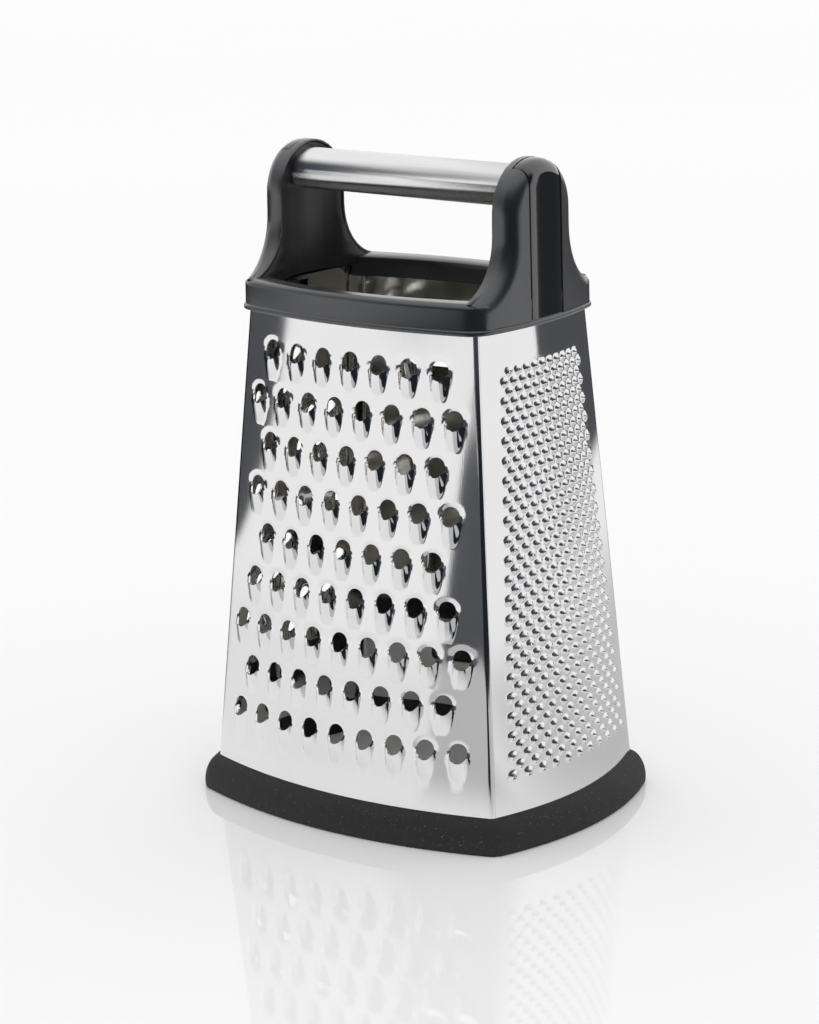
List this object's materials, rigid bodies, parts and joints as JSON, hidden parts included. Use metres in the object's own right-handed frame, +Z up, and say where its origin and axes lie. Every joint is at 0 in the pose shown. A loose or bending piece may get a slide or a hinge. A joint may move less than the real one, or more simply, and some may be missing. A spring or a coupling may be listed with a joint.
{
  "type": "box grater",
  "caption": "Four sided box grater with bowed steel panels of coarse, fine, slicing and zest teeth, a black collar with a steel tube handle and a rubber base ring.",
  "frame": {"origin": "on the table under the middle of the base ring", "axes": "+Z up, X along the handle tube, coarse face towards -Y, fine face towards +X"},
  "size_m": [0.1556, 0.1238, 0.24],
  "materials": {
    "steel": "polished stainless sheet",
    "tube": "fine brushed along the tube",
    "screw": "plain",
    "frame": "satin black",
    "plate": "satin black",
    "strip": "gloss black",
    "plug": "plain black",
    "ring": "matte black"
  },
  "bodies": {
    "root": {"coarse_panel": "steel", "fine_panel": "steel", "slicing_panel": "steel", "zest_panel": "steel", "collar_frame": "frame", "right_inner_plate": "plate", "left_inner_plate": "plate", "right_cover_strip": "strip", "left_cover_strip": "strip", "handle_tube": "tube", "right_tube_plug": "plug", "left_tube_plug": "plug", "right_handle_screw": "screw", "left_handle_screw": "screw", "base_ring": "ring"}
  },
  "joints": []
}
